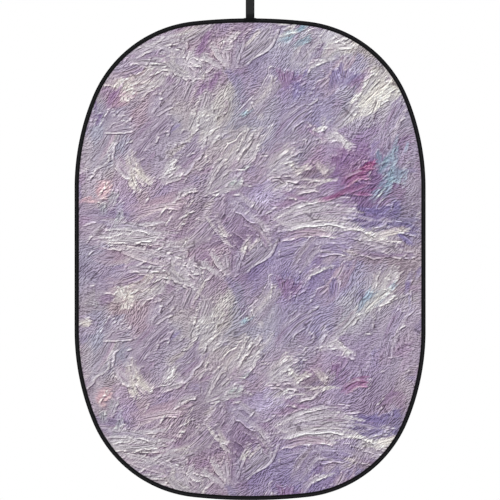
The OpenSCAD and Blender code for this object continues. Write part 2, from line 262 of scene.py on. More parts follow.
# Fans of strokes: x, z of the point they leave, heading, spread, start, length, count, ink
FANS = [
    (-.6, .86, 20, 60, .05, .26, 7, "grey"), (-.33, .92, -50, 70, .02, .17, 6, "pale"),
    (-.55, .73, 40, 300, .005, .06, 9, "ivory"), (-.26, .54, 56, 70, .01, .15, 6, "pale"),
    (-.54, .43, -58, 60, .02, .16, 6, "cream"), (-.42, .32, 35, 60, .02, .15, 6, "pale"),
    (-.22, .27, 40, 50, .02, .2, 6, "grey"), (.02, .17, 2, 40, .05, .38, 9, "pale"),
    (-.7, .09, -3, 34, .03, .34, 8, "pale"), (.04, .36, 22, 66, .02, .2, 7, "pale"),
    (.43, .09, 8, 50, .02, .2, 6, "ivory"), (.4, .6, 44, 46, .03, .26, 7, "ivory", 1),
    (.16, .73, 70, 90, .01, .11, 6, "plum"), (.4, .74, 80, 90, .01, .12, 6, "iris", 1),
    (.27, .5, 30, 60, .02, .15, 6, "pale"), (.56, .36, 40, 110, .01, .12, 7, "teal", 1),
    (.4, .37, 20, 70, .02, .15, 6, "orchid", 1), (-.1, .15, -58, 50, .02, .15, 5, "shadow"),
    (.5, -.22, 55, 70, .02, .17, 7, "pale", 1), (-.68, .3, -5, 80, .01, .07, 5, "pink"),
    (-.08, .8, 110, 80, .02, .15, 6, "pale"), (.3, .93, 30, 70, .02, .16, 6, "pale", 1),
    (-.08, .41, 50, 44, .02, .2, 6, "grey"), (-.66, .55, 35, 60, .02, .15, 6, "mauve"),
    (-.46, .6, 52, 50, .02, .18, 6, "mauve"), (.6, .16, -20, 60, .01, .16, 6, "iris", 1),
]


def display(rgb):
    """Display colour, 0 to 255, to linear."""
    c = np.asarray(rgb, float) / 255
    return np.where(c <= .04045, c / 12.92, ((np.maximum(c, 0) + .055) / 1.055) ** 2.4)


def varied(at, low, high, values):
    """Values spread evenly from low to high, read off at a place between them."""
    return np.interp(at, np.linspace(low, high, len(values)), values)


def bell(value, width):
    return np.exp(-((value / width) ** 2))


def soft_noise(rng, x, z, cell, period):
    """Smooth random values, periodic in z."""
    rows = max(2, int(round(period / cell)))
    cols = int(2.0 / cell) + 3
    grid = rng.normal(size=(rows, cols))
    u = (x + 1.0) / cell
    v = (z / period) % 1.0 * rows
    i, j = np.floor(u).astype(int), np.floor(v).astype(int)
    fu, fv = u - i, v - j
    fu, fv = fu * fu * (3 - 2 * fu), fv * fv * (3 - 2 * fv)
    i = np.clip(i, 0, cols - 2)
    a, b = grid[j % rows, i], grid[j % rows, i + 1]
    c, d = grid[(j + 1) % rows, i], grid[(j + 1) % rows, i + 1]
    return (a * (1 - fu) + b * fu) * (1 - fv) + (c * (1 - fu) + d * fu) * fv


class Painting:
    """A seeded painting on a regular grid: colour, paint height and each stroke's own coordinates."""

    def __init__(self):
        self.rng = np.random.default_rng(PAINTING_SEED)
        self.nx = int(round(2 * HALF_W / PITCH)) + 1
        self.nz = int(round(2 * HALF_H / PITCH)) + 1
        self.x = np.linspace(-HALF_W, HALF_W, self.nx)
        self.z = np.linspace(-HALF_H, HALF_H, self.nz)
        self.gx, self.gz = np.meshgrid(self.x, self.z)
        shape = self.gx.shape
        self.height = np.zeros(shape)
        self.coords = np.zeros(shape + (3,))
        self.relief = np.zeros(shape + (3,))     # distance to an edge (+ on top), its lip, the crust
        self.relief[..., 2] = 1.0
        self.turn = np.zeros(shape + (3,))       # the stroke's direction
        self.colour = self.ground()

    def ground(self):
        """Slow changes of tone, and the soft areas."""
        rng, x, z = self.rng, self.gx, self.gz
        bent_x = x + .05 * soft_noise(rng, x, z, .11, TILE)
        bent_z = z + .05 * soft_noise(rng, x, z, .11, TILE)
        light = soft_noise(rng, bent_x, bent_z, .13, TILE)
        warm = soft_noise(rng, bent_x, bent_z, .16, TILE)
        cool = soft_noise(rng, bent_x, bent_z, .12, TILE)
        tone = np.array(INKS["mauve"], float) + light[..., None] * 5
        tone = tone + warm[..., None] * [3, -1, -3] + cool[..., None] * [-2, -3, 4]
        for ax, az, rx, rz, change, *once in AREAS:
            for k in range(1 if once else 3):
                d = ((bent_x - ax) / rx) ** 2 + ((bent_z - az + k * TILE) / rz) ** 2
                tone = tone + np.exp(-d)[..., None] * np.array(change, float) * 1.25
        return tone

    def picked(self, x, z):
        """Paint that the brush picks up where it starts."""
        i = int(np.clip(round((x + HALF_W) / PITCH), 0, self.nx - 1))
        j = int(np.clip(round((z + HALF_H) / PITCH), 0, self.nz - 1))
        return self.colour[j, i]

    def stroke(self, x, z, heading, length, width, bend, ink=None, mix=1.0, shift=0.0, load=1.0,
               ridge=1.0, repeat=True, smooth=1.0):
        """Lays one arc-shaped stroke, and its copies one tile below.

        ink is mixed with the paint that is already there; without one the brush only drags it.
        """
        seed = self.rng.random(64)
        ident = self.rng.random() * 40
        for k in range(3 if repeat else 1):
            low = z - k * TILE
            tint = self.picked(x, low) + shift
            if ink is not None:
                tint = tint + mix * (np.array(INKS[ink], float) - tint)
            self.lay(x, low, heading, length, width, bend, tint, load, ridge, smooth, seed, ident)

    def lay(self, x, z, heading, length, width, bend, tint, load, ridge, smooth, seed, ident):
        reach = .5 * length + width
        i0, i1 = np.searchsorted(self.x, [x - reach, x + reach])
        j0, j1 = np.searchsorted(self.z, [z - reach, z + reach])
        if i0 >= i1 or j0 >= j1:
            return
        part = (slice(j0, j1), slice(i0, i1))
        px, pz = self.gx[part] - x, self.gz[part] - z
        c, s = cos(heading), sin(heading)
        a, b = px * c + pz * s, pz * c - px * s
        bend = bend if abs(bend) > .05 else .05
        radius = 1 / bend
        r = np.hypot(a, b - radius)
        across = (abs(radius) - r) * copysign(1, radius)
        along = np.arctan2(a, (radius - b) * copysign(1, radius)) * abs(radius)
        part_way = along / length
        swell = 1 - .35 * varied(part_way, -.5, .5, seed[52:64])
        t = across / (width / 2) / swell
        bristle = varied(t, -1, 1, seed[:16])
        start = -.5 * length * (1 - .45 * varied(t, -1, 1, seed[16:24]))
        end = .5 * length * (1 - .55 * varied(t, -1, 1, seed[24:34]))
        wobble = .3 * varied(part_way, -.5, .5, seed[34:48]) - .15
        side = 1 - np.abs(t + wobble)
        mask = (side > 0) & (along > start) & (along < end)
        if not mask.any():
            return
        fade = np.clip((along - start) / (.35 * length), 0, 1) * np.clip((end - along) / .012, .3, 1)
        cover = np.clip(side * width / .007, 0, 1) * (.3 + .7 * fade) * load
        cover = np.where(bristle < .3, cover * .5, cover) * mask
        pick = tint + (bristle[..., None] - .5) * 26 + t[..., None] * (seed[48] - .5) * 30
        colour = self.colour[part]
        colour += cover[..., None] * (pick - colour)
        heavy = -1 if cos(heading) > 0 else 1      # paint piles up on the lower right
        if seed[49] > .8:
            heavy = -heavy
        gap = side * .5 * width * swell
        last = end - along
        broken = varied(part_way, -.5, .5, seed[50:59]) > .38
        lip = np.where(last < gap, .8, np.clip(.1 + 1.2 * heavy * t, 0, 1) * broken) * ridge
        soft = bell(gap, .006) * lip
        pile = bell(last, .0085)
        colour += ((.6 * soft + .3 * pile * ridge) * mask)[..., None] * np.array([24, 24, 18])
        rise = ridge * (soft + pile + .35 * (bristle - .5))
        self.height[part] = np.where(mask, .4 * self.height[part] + rise, self.height[part])
        held = cover > .25
        if width > .026:
            way = heading + along * bend
            for field, values in ((self.coords, (across, along, 0 * way + ident)),
                                  (self.turn, (np.cos(way), np.sin(way), 0 * way))):
                field[part] = np.where(held[..., None], np.stack(values, -1), field[part])
        near = np.minimum(gap, last)
        lip = lip * fade * np.clip(1.5 - np.abs(near) / .007, 0, 1)
        relief = self.relief[part]
        laid = (along > start) & ((.3 + .7 * fade) * load > .3)
        over = laid & ((near > 0) | ((near > -.0105) & (lip > relief[..., 1])))
        relief[..., 0] = np.where(over, near, relief[..., 0])
        relief[..., 1] = np.where(over, lip, relief[..., 1])
        relief[..., 2] = np.where(held, smooth, relief[..., 2])

    def clear_of_seams(self):
        """0 in every cell where two strokes meet, 1 elsewhere."""
        ident = self.coords[..., 2]
        first = ident[:-1, :-1]
        mixed = (ident[1:, :-1] != first) | (ident[:-1, 1:] != first) | (ident[1:, 1:] != first)
        clear = np.ones(ident.shape)
        for j in (0, 1):
            for i in (0, 1):
                clear[j:clear.shape[0] - 1 + j, i:clear.shape[1] - 1 + i][mixed] = 0
        return clear

    def lean(self, x, z):
        """The way the hand was moving there: mostly up to the right, sweeping in places."""
        sweep = sin(4.1 * x + 1.3) * cos(2 * pi * (z / TILE) + .8)
        level = exp(-((((z - .12) / TILE + .5) % 1 - .5) * TILE / .10) ** 2)
        return radians(48) * (1 - .75 * level * (abs(x) > .15)) + .55 * sweep

    def anywhere(self):
        return self.rng.uniform(-.8, .8), HALF_H - self.rng.uniform(0, TILE)

    def scumble(self, count, lengths, widths, load, ridge, jitter, spread=.3):
        rng = self.rng
        for _ in range(count):
            x, z = self.anywhere()
            heading = self.lean(x, z) + rng.normal() * spread
            self.stroke(x, z, heading, rng.uniform(*lengths), rng.uniform(*widths), rng.normal() * 3.5,
                        shift=rng.normal() * jitter, load=load, ridge=ridge)

    def fan(self, x, z, deg, spread, start, length, count, ink, *once):
        """Strokes that leave one point side by side, as a flat brush twisted in the hand leaves them."""
        rng = self.rng
        for k in rng.permutation(count):
            part = (k + .5) / count - .5
            way = radians(deg + spread * part + rng.normal() * 3)
            reach = length * rng.uniform(.75, 1.1)
            far = start + .5 * reach
            width = (start + .6 * length) * radians(spread) / count * rng.uniform(1.1, 1.9)
            width = min(max(width, .016), .075)
            mix = rng.uniform(.15, .95)
            self.stroke(x + far * cos(way), z + far * sin(way), way, reach, width,
                        -copysign(rng.uniform(.5, 2.5), part), ink, mix, rng.normal() * 5, .92,
                        rng.uniform(.8, 1.6), not once, .22)

    def crest(self, x, z, way, length, bend, ink, mix):
        """A thin raised ridge of paint with its own shadow below and to the right."""
        self.stroke(x + .0045, z - .0055, way, .9 * length, .010, bend, "shadow", .65, 0, .85, 0.0)
        self.stroke(x, z, way, length, .011, bend, ink, mix, 0, 1.0, 1.3, smooth=.6)

    def broad(self, x, z, deg, length, width, bend, ink):
        """A loaded flat brush: an even body, bristle streaks and a raised pale edge."""
        rng = self.rng
        way = radians(deg)
        side_x, side_z = -sin(way), cos(way)
        self.stroke(x, z, way, length, width, bend, ink, .6, 3, 1.0, 1.5, smooth=.26)
        for _ in range(4):
            off = rng.uniform(-.38, .38) * width
            self.stroke(x + off * side_x, z + off * side_z, way + rng.normal() * .04,
                        length * rng.uniform(.4, .9), width * rng.uniform(.14, .34), bend,
                        ["pale", "orchid", "cream", ink][rng.integers(4)], .5, rng.normal() * 7, .8, .4,
                        smooth=.26)

    def paint(self):
        rng = self.rng
        self.scumble(420, (.12, .28), (.045, .10), .75, .2, 6, .55)
        self.scumble(420, (.05, .14), (.018, .045), .7, .3, 7)
        for _ in range(120):
            x, z = self.anywhere()
            ink = ["orchid", "plum", "iris", "orchid", "pale", "cream"][rng.integers(6)]
            self.stroke(x, z, self.lean(x, z) + rng.normal() * .5, rng.uniform(.05, .15),
                        rng.uniform(.02, .06), rng.normal() * 6, ink, rng.uniform(.25, .6), 0, .85, .5)
        for k in rng.permutation(len(BROAD)):
            self.broad(*BROAD[k])
        self.scumble(160, (.04, .12), (.012, .030), .6, .5, 8, .4)
        for fan in FANS:
            self.fan(*fan)
        for x, z, deg, length, width, bend, ink, *once in ACCENTS:
            for k in range(5):
                off = rng.normal(size=2) * [.26 * length, .30 * width]
                c, s = cos(radians(deg)), sin(radians(deg))
                self.stroke(x + off[0] * c - off[1] * s, z + off[0] * s + off[1] * c,
                            radians(deg + rng.normal() * 14), length * rng.uniform(.45, .95),
                            width * rng.uniform(.35, .75), bend * rng.uniform(.5, 1.5), ink,
                            rng.uniform(.4, .95), rng.normal() * 4, rng.uniform(.7, 1.0),
                            rng.uniform(.5, 1.4), not once, .45)
        for _ in range(110):
            x, z = self.anywhere()
            way = self.lean(x, z) + rng.normal() * .5
            self.crest(x, z, way, rng.uniform(.025, .09), rng.normal() * 8,
                       "ivory" if rng.random() < .3 else "pale", rng.uniform(.2, .8))
        for stroke in LAST:
            self.broad(*stroke)
        self.scumble(90, (.03, .08), (.008, .020), .5, .8, 8, .4)
        self.turn[..., 2] = self.clear_of_seams()
        slope_x = np.roll(self.height, -1, 1) - self.height
        slope_z = np.roll(self.height, -1, 0) - self.height
        emboss = np.clip(.7 * slope_x - .8 * slope_z, -1.0, 1.0)
        self.colour += emboss[..., None] * 46
        mean = self.colour.mean(-1, keepdims=True)
        self.colour = mean + 1.02 * (self.colour - mean) + (166 - mean) * [.01, -.06, .05]
        self.colour = np.clip(self.colour, 40, 246)


# ---- materials
class Value:
    """A node's output. Arithmetic with it adds Math nodes."""

    def __init__(self, nodes, socket):
        self.nodes, self.socket = nodes, socket

    def __rsub__(self, other):
        return self.nodes.math("SUBTRACT", other, self)

    def __abs__(self):
        return self.nodes.math("ABSOLUTE", self)


def operator(operation):
    return lambda a, b: a.nodes.math(operation, a, b)


for method, operation in (("__add__", "ADD"), ("__sub__", "SUBTRACT"), ("__mul__", "MULTIPLY"),
                          ("__truediv__", "DIVIDE"), ("__pow__", "POWER")):
    setattr(Value, method, operator(operation))


class Nodes:
    """Small helper that builds a material's node tree."""

    def __init__(self, name):
        self.material = bpy.data.materials.new(name)
        self.material.use_nodes = True
        self.tree = self.material.node_tree
        self.tree.nodes.clear()
        out = self.tree.nodes.new("ShaderNodeOutputMaterial")
        self.shader = self.tree.nodes.new("ShaderNodeBsdfPrincipled")
        self.tree.links.new(self.shader.outputs[0], out.inputs[0])

    def put(self, socket, value):
        if isinstance(value, Value):
            self.tree.links.new(value.socket, socket)
        elif hasattr(value, "__len__") and len(value) == 3 and socket.type == "RGBA":
            socket.default_value = (*value, 1.0)
        else:
            socket.default_value = value

    def set(self, **inputs):
        for key, value in inputs.items():
            self.put(self.shader.inputs[key.replace("_", " ")], value)

    def node(self, kind, *inputs, out=0, **settings):
        node = self.tree.nodes.new("ShaderNode" + kind)
        for key, value in settings.items():
            setattr(node, key, value)
        for index, value in enumerate(inputs):
            if value is not None:
                self.put(node.inputs[index], value)
        return Value(self, node.outputs[out])

    def math(self, operation, *values):
        return self.node("Math", *values, operation=operation)

    def vector(self, operation, a, b):
        return self.node("VectorMath", a, b, operation=operation)

    def attribute(self, name, out="Fac"):
        return self.node("Attribute", attribute_name=name, out=out)

    def split(self, vector):
        node = self.tree.nodes.new("ShaderNodeSeparateXYZ")
        self.put(node.inputs[0], vector)
        return [Value(self, socket) for socket in node.outputs]

    def coords(self, scale=None):
        where = self.node("TexCoord", out="Object")
        return self.vector("MULTIPLY", where, scale) if scale else where

    def noise(self, vector, scale, detail=2.0, rough=.5):
        return self.node("TexNoise", vector, None, scale, detail, rough)

    def speck(self, scale, detail=2.0, rough=.5):
        """Noise in plain object coordinates."""
        return self.noise(self.coords(), scale, detail, rough)

    def mix(self, factor, a, b):
        return self.node("Mix", factor, *[None] * 5, a, b, out=2, data_type="RGBA")

    def ramp(self, value, low, high, a=0.0, b=1.0):
        return self.node("MapRange", value, low, high, a, b)

    def finish(self, height, strength, distance):
        """Adds the bump, and gives the material."""
        node = self.tree.nodes.new("ShaderNodeBump")
        node.inputs["Strength"].default_value = strength
        node.inputs["Distance"].default_value = distance
        self.put(node.inputs["Height"], height)
        self.tree.links.new(node.outputs[0], self.shader.inputs["Normal"])
        return self.material

    def wave(self, value, length):
        return self.math("SINE", value * (2 * pi / length))

    def weave(self, pitch=.0012):
        """Height of a plain weave across X and Z: threads each way, over and under by turns."""
        x, _, z = self.split(self.coords())
        return abs(self.wave(x, 2 * pitch) * self.wave(z, 2 * pitch))


def printed_cloth_material():
    """Printed satin-matt cloth: painted colour, bristle lines along each stroke and a fine weave."""
    n = Nodes("printed_cloth")
    across, along, ident = n.split(n.attribute("stroke", "Vector"))
    from_edge, edge_lip, crust = n.split(n.attribute("relief", "Vector"))
    turn_x, turn_z, clear = n.split(n.attribute("turn", "Vector"))
    place = n.coords()

    def flowing(step, warp, stretch, slant=-42):
        """Object coordinates that swirl, stretched along one way that the brush went."""
        at = n.vector("ADD", place, step)
        flow = n.vector("SUBTRACT", n.node("TexNoise", at, None, 6.0, .5, out=1), (.5, .5, .5))
        at = n.vector("ADD", at, n.vector("MULTIPLY", flow, (warp, 0, warp)))
        return n.node("Mapping", at, (0, 0, 0), (0, radians(slant), 0), (stretch, 1, 1),
                      vector_type="TEXTURE")

    crossing = n.ramp(n.speck(4.6, 1.0), .49, .58)

    def paint_height(step):
        """Crusts and flecks of paint with crisp edges, and fine lines that the brush left two ways."""
        at = flowing(step, .15, 1.7)
        slab = n.ramp(n.noise(at, 40, 1.5, .6), .47, .54)
        fleck = n.ramp(n.noise(at, 120, 1.0, .6), .45, .57)
        fine = n.noise(flowing(step, .085, 4.5), 215, 1.2, .6)
        crossed = n.noise(flowing(step, .085, 4.0, 24), 215, 1.2, .6)
        fine = fine + crossing * (crossed - fine)
        return slab * .24 + fleck * .22 + fine * 3.0

    relief = paint_height((.0013, 0, -.0014)) - paint_height((-.0013, 0, .0014))
    ridge = abs(n.noise(flowing((0, 0, 0), .085, 5.0), 30, 0.0) - .5)
    crack = n.ramp(ridge, .020, .006) * n.ramp(n.speck(13, 1.0), .54, .60)
    calm = n.ramp(n.speck(7, 2.0), .36, .64, .25, 1.35)
    lit_across, lit_along = turn_x + turn_z, turn_z - turn_x

    def lines(fine, slow, step):
        """Bristle lines along the stroke, sampled a step towards the light."""
        u, v = across + lit_across * step, along + lit_along * step
        return n.noise(n.node("CombineXYZ", u * fine, v * slow, ident), 1.0, 2.0, .6)

    bristle = lines(115, 14, -.0008) - lines(115, 14, .0008)
    streak = n.ramp(lines(70, 4, 0.0), .38, .62) - .5
    drawn = (bristle * (1.3 - crust) * BRISTLE_GAIN + streak * STREAK_GAIN) * clear
    gap = from_edge + (n.speck(70, 2.0) - .5) * .005

    def line(at, wide):
        """A thin line at a set distance inside the stroke's edge."""
        return n.math("MAXIMUM", 1.0 - abs(gap - at) / wide, 0.0)

    lip = (line(.0022, .0028) * .62 - line(-.0020, .0030) * .85) * edge_lip
    grain = n.speck(230, .5, .6) - .5
    gain = relief * crust * calm * RELIEF_GAIN + drawn + lip + grain - crack * .5
    lit = n.math("MINIMUM", n.math("MAXIMUM", gain, 0.0), LIT_MOST) + 1.0
    dark = 1.0 - n.math("MINIMUM", gain, 0.0) * CREVICE_GAIN
    factor = lit / dark
    tint = n.node("CombineXYZ", factor, lit / dark ** 1.08, factor)
    n.set(Base_Color=n.vector("MULTIPLY", n.attribute("paint", "Color"), tint), Roughness=.82,
          Specular_IOR_Level=.18, Sheen_Weight=.05, Sheen_Roughness=.5)
    return n.finish(n.weave(), .12, .0003)


def plain_cloth_material():
    """Unprinted back cloth: off-white, with a visible plain weave and faint creases."""
    n = Nodes("plain_cloth")
    slub = n.noise(n.coords((1.0, 1.0, 9.0)), 60, 3, .6)
    tone = slub * .35 + n.speck(3.2, 3, .55) * .65
    colour = n.mix(n.ramp(tone, .3, .7), (.50, .485, .48), (.585, .57, .56))
    n.set(Base_Color=colour, Roughness=.86, Specular_IOR_Level=.2, Sheen_Weight=.08)
    return n.finish(n.weave() + slub * .6, .25, .0004)


def tape_material(name, crest_highlight_weight):
    """Black grosgrain tape: ribs across its length, and a painted highlight along its crest over the hoop,
    of the strength given.
    """
    n = Nodes(name)
    u, v = n.attribute("tape_u"), n.attribute("tape_v")
    mottle = n.speck(55, 3, .6)
    tone = mottle * .6 + n.speck(900, 2, .5) * .4
    colour = n.mix(n.ramp(tone, .3, .7), (.0022, .0022, .0025), (.0060, .0060, .0067))
    # painted highlight: a paler band along the middle of the tape's face, where its crest would catch the
    # light
    painted_crest_highlight = n.math("COMPARE", n.math("PINGPONG", v + .0004, .0215), .0112, .0036)
    colour = n.mix(painted_crest_highlight * crest_highlight_weight, colour, (.016, .016, .0175))
    n.set(Base_Color=colour, Roughness=n.ramp(mottle, .3, .7, .70, .85), Specular_IOR_Level=.05)
    return n.finish(n.wave(u, .0016) + n.wave(v, .0011) * .4, .35, .00025)


def webbing_material():
    """Black webbing: a twill of thick yarns with closer selvedges, and painted shade on its lower end."""
    n = Nodes("webbing")
    u, v = n.attribute("web_u"), n.attribute("web_v")
    height = n.wave(u + n.math("PINGPONG", v, .004), .0021) + n.wave(v, .0013) * .5
    tone = n.ramp(height, -1.5, 1.5, .15, .7) + n.speck(420, 3, .6) * .4
    colour = n.mix(tone, (.008, .008, .0085), (.026, .026, .027))
    colour = n.mix(n.ramp(abs(v), .0150, .0178), colour, (.004, .004, .0045))
    # painted shade: the webbing darkens towards the bottom, from z -0.168 down, where it goes down to the
    # binding
    painted_low_shade = n.ramp(n.split(n.coords())[2], -.168, -.176, 0.0, .75)
    colour = n.mix(painted_low_shade, colour, (.0035, .0035, .004))
    n.set(Base_Color=colour, Roughness=.78, Specular_IOR_Level=.08, Sheen_Weight=.01)
    return n.finish(height, .5, .0004)


def thread_material(name, dark, light):
    """Spun thread: fine twisted plies."""
    n = Nodes(name)
    ply = n.speck(1500, 2, .5)
    n.set(Base_Color=n.mix(n.ramp(ply, .35, .65), dark, light), Roughness=.6,
          Specular_IOR_Level=.25, Sheen_Weight=.05)
    return n.finish(ply, .4, .0002)


def steel_material(name, tone, rough, streak):
    """Brushed steel with drawn streaks and faint oil marks."""
    n = Nodes(name)
    drawn = n.noise(n.coords(streak), 40, 4, .6)
    oil = n.speck(18, 3, .6)
    colour = n.mix(n.ramp(oil, .35, .7), tone, tuple(.72 * c for c in tone))
    n.set(Base_Color=colour, Metallic=1.0, Roughness=n.ramp(drawn, .3, .7, rough - .08, rough + .1))
    return n.finish(drawn, .12, .0002)


def shrink_material():
    """Heat-shrunk tube: black, slightly rippled plastic."""
    n = Nodes("shrink_tube")
    ripple = n.noise(n.coords((1.0, 3.0, 3.0)), 160, 3, .5)
    n.set(Base_Color=n.mix(ripple, (.012, .012, .012), (.022, .022, .022)),
          Roughness=n.ramp(ripple, .3, .7, .38, .52), Specular_IOR_Level=.4)
    return n.finish(ripple, .25, .0004)


# ---- cloths
def cloth_ripple(x, z):
    """How far the stretched cloths sit from the middle plane: long tension waves and edge puckers."""
    depth = np.clip(depth_inside(x, z), 0, None)
    angle = np.arctan2(z, x)
    waves = .0011 * np.sin(7.0 * x + 2.2 * z + .6) * np.sin(3.1 * z - 1.7 * x + 1.0)
    pucker = .0007 * np.sin(angle * 61 + 2.0 * np.sin(angle * 7)) * np.exp(-depth / .055)
    inner = np.clip((depth - .019) / .05, 0, 1)
    return waves * inner + pucker * np.clip((depth - .016) / .02, 0, 1)


def cloth_sheet(name, pitch, side):
    """A sheet on a square grid whose outer points are drawn in to the cloth's cut edge."""
    nx = int(round(2 * HALF_W / pitch)) + 1
    nz = int(round(2 * HALF_H / pitch)) + 1
    gx, gz = np.meshgrid(np.linspace(-HALF_W, HALF_W, nx), np.linspace(-HALF_H, HALF_H, nz))
    depth = depth_inside(gx, gz)
    inside = depth > CLOTH_DEPTH
    cell = inside[:-1, :-1] | inside[1:, :-1] | inside[:-1, 1:] | inside[1:, 1:]
    step = 1e-5
    slope_x = (depth_inside(gx + step, gz) - depth) / step
    slope_z = (depth_inside(gx, gz + step) - depth) / step
    short = np.where(inside, 0, CLOTH_DEPTH - depth)
    x, z = gx + short * slope_x, gz + short * slope_z
    index = np.arange(nx * nz).reshape(nz, nx)
    corners = np.stack([index[:-1, :-1], index[:-1, 1:], index[1:, 1:], index[1:, :-1]], -1)[cell]
    if side > 0:
        corners = corners[:, ::-1]
    used = np.unique(corners)
    renumber = np.zeros(nx * nz, int)
    renumber[used] = np.arange(len(used))
    y = cloth_ripple(x, z) + side * CLOTH_Y
    verts = np.stack([x.ravel(), y.ravel(), z.ravel() + MID_Z], 1)[used]
    return mesh_object(name, verts, renumber[corners]), used


def make_front_cloth():
    painting = Painting()
    painting.paint()
    obj, used = cloth_sheet("front_cloth", PITCH, -1)
    colour = display(painting.colour.reshape(-1, 3)[used]) * PRINT_GAIN
    point_attribute(obj, "paint", "FLOAT_COLOR", np.hstack([colour, np.ones((len(used), 1))]))
    for name, field in (("stroke", painting.coords), ("relief", painting.relief), ("turn", painting.turn)):
        point_attribute(obj, name, "FLOAT_VECTOR", field.reshape(-1, 3)[used])
    return dressed(obj, printed_cloth_material())


def make_back_cloth():
    obj, _ = cloth_sheet("back_cloth", BACK_PITCH, 1)
    return dressed(obj, plain_cloth_material())


# ---- rim
def sweep_rim(name, section, step, wobble=None):
    """Sweeps a closed section of (depth, y) points around the panel's edge."""
    points, normal, at = outline(step)
    section = np.asarray(section, float)
    depth = section[:, 0][None, :]
    y = np.repeat(section[:, 1][None, :], len(points), 0)
    if wobble is not None:
        y = y + wobble(at)[:, None] * np.sign(y) * np.clip(depth / .012, 0, 1)
    x = points[:, :1] - depth * normal[:, :1]
    z = points[:, 1:] - depth * normal[:, 1:] + MID_Z
    verts = np.stack([x, y, z], -1).reshape(-1, 3)
    faces = tube_faces(len(points), len(section))
    return mesh_object(name, verts, faces), at, section


TAPE_FACE = [  # front half of the tape's outer face: depth, distance from the middle plane
    (.0190, .00175), (.0186, .00192), (.0176, .00198), (.0165, .00178), (.0154, .00206),
    (.0136, .00232), (.0116, .00300), (.0098, .00395), (.0082, .00490), (.0066, .00558),
    (.0050, .00595), (.0034, .00600), (.0020, .00560), (.0010, .00470), (.00035, .00330),
    (.00005, .00160),
]


def make_binding():
    outer = [(d, -h) for d, h in TAPE_FACE] + [(0.0, 0.0)] + [(d, h) for d, h in TAPE_FACE[::-1]]
    inner = []
    for d, h in outer[::-1]:
        lay = .0006 if abs(h) < .0036 and d > .009 else .0008
        inner.append((min(d + (.0008 if d < .004 else 0.0), .0190), h - copysign(lay, h) if h else 0))
    inner = [(max(d, .0008), h) for d, h in inner]

    def wobble(at):
        return .00014 * np.sin(at * 2 * pi / .031 + np.sin(at * 9)) + .0001 * np.sin(at * 41)

    obj, at, section = sweep_rim("edge_binding", outer + inner, .0075, wobble)
    point_attribute(obj, "tape_u", "FLOAT", np.repeat(at, len(section)))
    point_attribute(obj, "tape_v", "FLOAT", np.tile(path_length(section), len(at)))
    # the binding tape gets the painted highlight along its crest; the patch tape gets none
    return dressed(obj, tape_material("binding_tape", .6))


def make_hoop():
    half, near, far, r = .004, .0022, .0036, .0003
    section = [(near, half - r), (near + r, half), (far - r, half), (far, half - r),
               (far, -half + r), (far - r, -half), (near + r, -half), (near, -half + r)]
    obj, _, _ = sweep_rim("steel_hoop", section, .012)
    return dressed(obj, steel_material("spring_steel", (.33, .34, .35), .34, (1, 9, 1)))


def stitch_bodies(name, centre, way, side, out, length, width, rise):
    """Plump six-sided stitches: row k of each array is stitch k's middle and its three directions."""
    stations = np.array([-.5, -.36, 0.0, .36, .5])[:, None]
    swell = np.array([.25, .85, 1.0, .85, .25])[:, None]
    sink = np.array([-.5, .3, .5, .3, -.5])[:, None]
    turn = np.arange(6) * pi / 3
    sizes = (stations * length + 0 * turn, .5 * width * swell * np.cos(turn),
             rise * sink + .5 * rise * swell * np.sin(turn))
    verts = centre[:, None, None] + sum(axis[:, None, None] * size[..., None]
                                        for axis, size in zip((way, side, out), sizes))
    first = 30 * np.arange(len(centre))[:, None, None]
    faces = first + tube_faces(5, 6, closed=False)
    return mesh_object(name, verts.reshape(-1, 3), faces.reshape(-1, 4))


def stitches(name, rows, pitch, length, width, rise, skip=0.0):
    """Single thread stitches along the edge: rows are (depth, y). skip leaves the top's middle clear."""
    sets = []
    for depth, y in rows:
        points, normal, _ = outline(pitch, depth)
        keep = ~((np.abs(points[:, 0]) < skip) & (points[:, 1] > 0))
        (x, z), (out_x, out_z) = points[keep].T, normal[keep].T
        none = 0 * x
        sets.append([(x, none + y, z + MID_Z), (-out_z, none, out_x), (out_x, none, out_z),
                     (none, none + copysign(1, y), none)])
    sets = np.moveaxis(np.concatenate(sets, -1), 1, -1)
    return stitch_bodies(name, *sets, length, width, rise)


def make_binding_stitches():
    obj = stitches("binding_stitching", [(.0165, -.0020), (.0165, .0020)], .0042, .0034,
                   .00075, .00055, .026)
    return dressed(obj, thread_material("black_thread", (.006, .006, .0065), (.02, .02, .021)))


def make_join_stitches():
    obj = stitches("join_stitching", [(.0105, -.0008), (.0105, .0008)], .0062, .0050, .0004, .00025, .022)
    return dressed(obj, thread_material("grey_thread", (.10, .095, .11), (.2, .19, .21)))


# ---- strap
def strap_section():
    """Closed section across the webbing, with slightly fuller selvedges."""
    half = STRAP_W / 2
    top = [(-half, 0.0), (-half + .0003, .40), (-half + .0012, .52), (-half + .0024, .46)]
    top += [(x, .45 + .03 * cos(x * 900)) for x in np.linspace(-half + .004, half - .004, 15)]
    top += [(half - .0024, .46), (half - .0012, .52), (half - .0003, .40), (half, 0.0)]
    bottom = [(x, -h) for x, h in top[-2:0:-1]]
    return np.array([(x, h * STRAP_T) for x, h in top + bottom])


